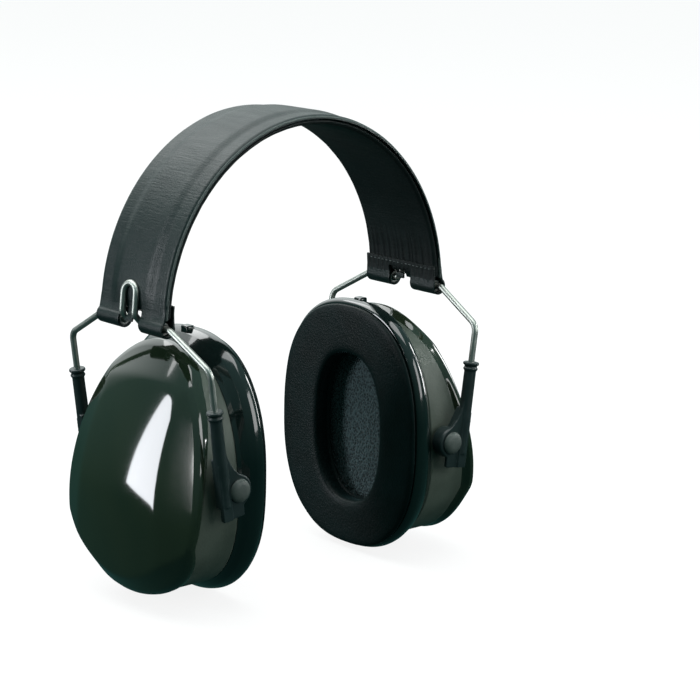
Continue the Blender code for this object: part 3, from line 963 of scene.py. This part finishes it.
def cup_rim(side, word):
    section = [
        (0.0375, 0.0465, 0.0455, 0.08, -0.0049),
        (0.0382, 0.0480, 0.0466, 0.06, -0.0062),
        (0.0403, 0.0503, 0.0482, 0.03, -0.0083),
        (0.0417, 0.0521, 0.0494, 0.0, -0.0105),
        (0.0420, 0.0524, 0.0498, 0.0, -0.0124),
        (0.0416, 0.0520, 0.0495, 0.0, -0.0141),
        (0.0405, 0.0509, 0.0488, 0.0, RIM_FRONT),
        (0.0388, 0.0490, 0.0478, 0.0, RIM_FRONT),
        (0.0378, 0.0470, 0.0464, 0.0, -0.0072),
        (0.0240, 0.0345, 0.0345, 0.0, -0.0072),
        (0.0240, 0.0345, 0.0345, 0.0, -0.0058),
        (0.0350, 0.0440, 0.0435, 0.0, -0.0058),
        (0.0355, 0.0445, 0.0440, 0.0, -0.0049),
    ]
    rings = []
    for width, top, bottom, taper, rise in softened(section, 0.0009):
        rings.append(ring(side, oval(width, top, bottom, taper), rise))
    rim = loft(f"{word}_rim_ring", rings, [FINISH["rim"]], joined=True)
    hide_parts(f"{word}_cup_rim")
    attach(rim, f"{word}_cup")
    bm = bmesh.new()
    rises = sorted((side * -0.0120, side * -0.0084))
    pivot = Matrix.Translation((side * PIVOT.x, 0, PIVOT.z))
    box_bm(bm, (rises[0], -0.0023, 0.0498), (rises[1], 0.0023, 0.0532), pivot)
    tab = mesh_object(f"{word}_rim_tab", bm, FINISH["rim"])
    bevel = tab.modifiers.new("Soft edge", "BEVEL")
    bevel.width = 0.0007
    bevel.segments = 3
    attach(tab, f"{word}_cup")


def cushion(side, word):
    back = -0.0088
    key = [
        (0.0368, 0.0460, 0.0454, 0.0, back),
        (0.0373, 0.0472, 0.0463, 0.0, -0.0120),
        (0.0380, 0.0482, 0.0471, 0.0, RIM_FRONT - 0.0002),
        (0.0396, 0.0500, 0.0484, 0.0, RIM_FRONT - 0.0004),
        (0.0400, 0.0504, 0.0488, 0.0, -0.0161),
        (0.0395, 0.0499, 0.0483, 0.0, -0.0168),
        (0.0380, 0.0484, 0.0468, 0.0, -0.0172),
        (0.0330, 0.0436, 0.0424, 0.0, -0.0173),
        (0.0275, 0.0383, 0.0376, 0.0, -0.0173),
        (0.0222, 0.0335, 0.0333, 0.0, -0.0172),
        (0.0200, 0.0315, 0.0315, 0.0, -0.0167),
        (0.0192, 0.0308, 0.0308, 0.0, -0.0156),
        (0.0190, 0.0306, 0.0306, 0.0, -0.0135),
        (0.0196, 0.0311, 0.0311, 0.0, -0.0105),
        (0.0201, 0.0316, 0.0316, 0.0, back),
    ]
    section = catmull(key, 4)
    rings = []
    for width, top, bottom, taper, rise in section:
        row = []
        for k, (y, v) in enumerate(oval(width, top, bottom, taper)):
            angle = 2 * math.pi * k / AROUND
            soft = smoothstep(0.0125, 0.0160, -rise)
            around = Vector((math.cos(angle), math.sin(angle), side * 2.0))
            wave = noise.noise(around * 2.6 + Vector((rise * 120, 0, 0)))
            small = noise.noise(Vector((y * 260, v * 260, side)))
            lift = (0.00010 * wave + 0.00003 * small) * soft
            grow = 1 + 0.004 * wave * soft
            row.append(cup_point(side, rise - lift, y * grow, v * grow))
        rings.append(row)
    made = loft(f"{word}_ear_cushion", rings, [FINISH["cushion"]], joined=True, sharp=0)
    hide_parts(f"{word}_cushion")
    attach(made, f"{word}_cup")


def foam_liner(side, word):
    """The liner's front, which shows in the ear opening, with an uneven open-cell face."""
    base = oval(0.0318, 0.0405, 0.0400)
    rings = []
    for level, share in ((0.0120, 0.30), (0.0080, 0.70), (0.0020, 0.98), (-0.0030, 1.0)):
        rings.append(ring(side, [(y * share, v * share) for y, v in base], level))
    steps = 46
    for step in range(steps):
        share = 0.995 * (1 - step / steps)
        row = []
        for y, v in base:
            spot = Vector((y * share, v * share, side * 4.0))
            rough = noise.noise(spot * 900) * 0.00022 + noise.noise(spot * 90) * 0.00035
            crown = 0.0008 * (1 - share**2)
            row.append(cup_point(side, LINER_FRONT + 0.0003 - crown - rough, spot.x, spot.y))
        rings.append(row)
    centre = cup_point(side, LINER_FRONT - 0.0005, 0, 0)
    made = loft(f"{word}_liner_foam", rings, [FINISH["foam"]], centre=centre, sharp=0)
    bm = bmesh.new()
    bm.from_mesh(made.data)
    edges = [edge for edge in bm.edges if edge.is_boundary]
    bmesh.ops.contextual_create(bm, geom=edges)
    face_outwards(bm)
    bm.to_mesh(made.data)
    bm.free()
    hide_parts(f"{word}_foam_liner")
    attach(made, f"{word}_cup")


def ear_side(side, word):
    wire_yoke(side, word)
    for end, place_word in ((-1, "front"), (1, "rear")):
        arm(side, word, end, place_word)
        pin(side, word, end, place_word)
    cup_shell(side, word)
    cup_rim(side, word)
    cushion(side, word)
    foam_liner(side, word)


def carried_over():
    """Finishes for the CAD nodes that show as they are."""
    for node, finish in (
        ("band_spring", "spring"),
        ("band_padding", "foam"),
        ("left_cushion_plate", "plate"),
        ("right_cushion_plate", "plate"),
    ):
        for slot in frame["nodes"][node].material_slots:
            slot.material = FINISH[finish]


# ---------------------------------------------------------------- the studio


def area(name, spot, aim, size, power, colour=(1, 1, 1), spin=0):
    light = bpy.data.lights.new(name, "AREA")
    light.shape = "RECTANGLE"
    light.size, light.size_y = size
    light.energy = power
    light.color = colour
    obj = bpy.data.objects.new(name, light)
    bpy.context.scene.collection.objects.link(obj)
    spot = Vector(spot)
    turn = (Vector(aim) - spot).to_track_quat("-Z", "Y").to_matrix().to_4x4()
    turn = turn @ Matrix.Rotation(math.radians(spin), 4, "Z")
    obj.matrix_world = Matrix.Translation(spot) @ turn
    obj.visible_camera = False


def backdrop():
    """A white sweep behind the object, in a dim room with its light from above."""
    world = bpy.data.worlds.new("studio")
    bpy.context.scene.world = world
    world.use_nodes = True
    tree = world.node_tree

    def link(source, target):
        tree.links.new(source, target)

    paper = tree.nodes["Background"]
    paper.inputs["Color"].default_value = (1, 1, 1, 1)
    paper.inputs["Strength"].default_value = 1.0
    place = tree.nodes.new("ShaderNodeTexCoord")
    split = tree.nodes.new("ShaderNodeSeparateXYZ")
    link(place.outputs["Generated"], split.inputs[0])
    height = tree.nodes.new("ShaderNodeMapRange")
    height.inputs["From Min"].default_value = -1.0
    link(split.outputs["Z"], height.inputs["Value"])
    ramp = tree.nodes.new("ShaderNodeValToRGB")
    link(height.outputs["Result"], ramp.inputs["Fac"])
    stops = ramp.color_ramp.elements
    stops[0].position, stops[0].color = 0.42, (0.014, 0.050, 0.046, 1)
    stops[1].position, stops[1].color = 0.95, (0.20, 0.34, 0.33, 1)
    room = tree.nodes.new("ShaderNodeBackground")
    link(ramp.outputs["Color"], room.inputs["Color"])
    facing = tree.nodes.new("ShaderNodeVectorMath")
    facing.operation = "DOT_PRODUCT"
    facing.inputs[1].default_value = Vector((0.22, 0.66, 0.70)).normalized()
    link(place.outputs["Generated"], facing.inputs[0])
    spread = tree.nodes.new("ShaderNodeMapRange")
    spread.inputs["From Min"].default_value = 0.66
    spread.inputs["From Max"].default_value = 1.0
    spread.inputs["To Max"].default_value = 2.2
    link(facing.outputs["Value"], spread.inputs["Value"])
    glow = tree.nodes.new("ShaderNodeBackground")
    link(spread.outputs["Result"], glow.inputs["Strength"])
    both = tree.nodes.new("ShaderNodeAddShader")
    link(room.outputs["Background"], both.inputs[0])
    link(glow.outputs["Background"], both.inputs[1])
    path = tree.nodes.new("ShaderNodeLightPath")
    mix = tree.nodes.new("ShaderNodeMixShader")
    link(path.outputs["Is Camera Ray"], mix.inputs["Fac"])
    link(both.outputs["Shader"], mix.inputs[1])
    link(paper.outputs["Background"], mix.inputs[2])
    link(mix.outputs["Shader"], tree.nodes["World Output"].inputs["Surface"])


def studio():
    backdrop()
    bpy.context.scene.view_settings.view_transform = "Standard"
    floor_finish = Shader("studio_floor", Roughness=0.9, Emission_Strength=0.86)
    floor_finish.bsdf.inputs["Base Color"].default_value = (0.16, 0.16, 0.16, 1)
    floor_finish.bsdf.inputs["Emission Color"].default_value = (1, 1, 1, 1)
    floor_finish.bsdf.inputs["Specular IOR Level"].default_value = 0.0
    bm = bmesh.new()
    bmesh.ops.create_grid(bm, x_segments=1, y_segments=1, size=12.0)
    mesh = bpy.data.meshes.new("studio_floor")
    bm.to_mesh(mesh)
    bm.free()
    floor = new_object("studio_floor", mesh, [floor_finish.material])
    floor.location.z = CAD_BOX[0][2] - 0.0004
    floor.visible_glossy = False
    floor.visible_diffuse = False

    middle = (0, 0, HEM.z)
    area("overhead", (-0.1, -0.1, 1.3), middle, (1.4, 1.0), 13)
    area("back_top", (-0.35, 1.15, 1.35), middle, (1.5, 0.7), 11)
    area("left_softbox", (-1.15, 0.72, 0.09), middle, (0.38, 0.74), 8.5, (0.93, 0.95, 1.0), -14)
    area("left_strip", (-1.25, 0.08, 0.12), middle, (0.016, 0.60), 0.26)
    area("front_fill", (0.5, -1.5, 0.5), middle, (0.9, 0.9), 9)
    area("right_strip", (1.3, -0.5, 0.35), middle, (0.22, 0.9), 8)


def camera():
    """A long lens from the front left, a little above the cups."""
    azimuth, elevation = math.radians(CAMERA_AZIMUTH), math.radians(CAMERA_ELEVATION)
    target = Vector((0, 0, HEM.z))
    back = Vector(
        (
            math.sin(azimuth) * math.cos(elevation),
            -math.cos(azimuth) * math.cos(elevation),
            math.sin(elevation),
        )
    )
    right = Vector((math.cos(azimuth), math.sin(azimuth), 0))
    up = back.cross(right)
    turn = Matrix((right, up, back)).transposed().to_4x4()
    for degrees, axis in ((CAMERA_ROLL, "Z"), (CAMERA_PAN, "Y"), (CAMERA_TILT, "X")):
        turn = turn @ Matrix.Rotation(math.radians(degrees), 4, axis)
    data = bpy.data.cameras.new("camera")
    data.sensor_width = 36.0
    data.lens = LENS
    data.clip_start = 0.01
    obj = bpy.data.objects.new("camera", data)
    bpy.context.scene.collection.objects.link(obj)
    obj.matrix_world = Matrix.Translation(target + back * CAMERA_DISTANCE) @ turn
    bpy.context.scene.camera = obj


band_cover()
band_lining()
edge_welts()
hem_stitches()
ear_side(-1, "left")
ear_side(1, "right")
carried_over()
studio()
camera()
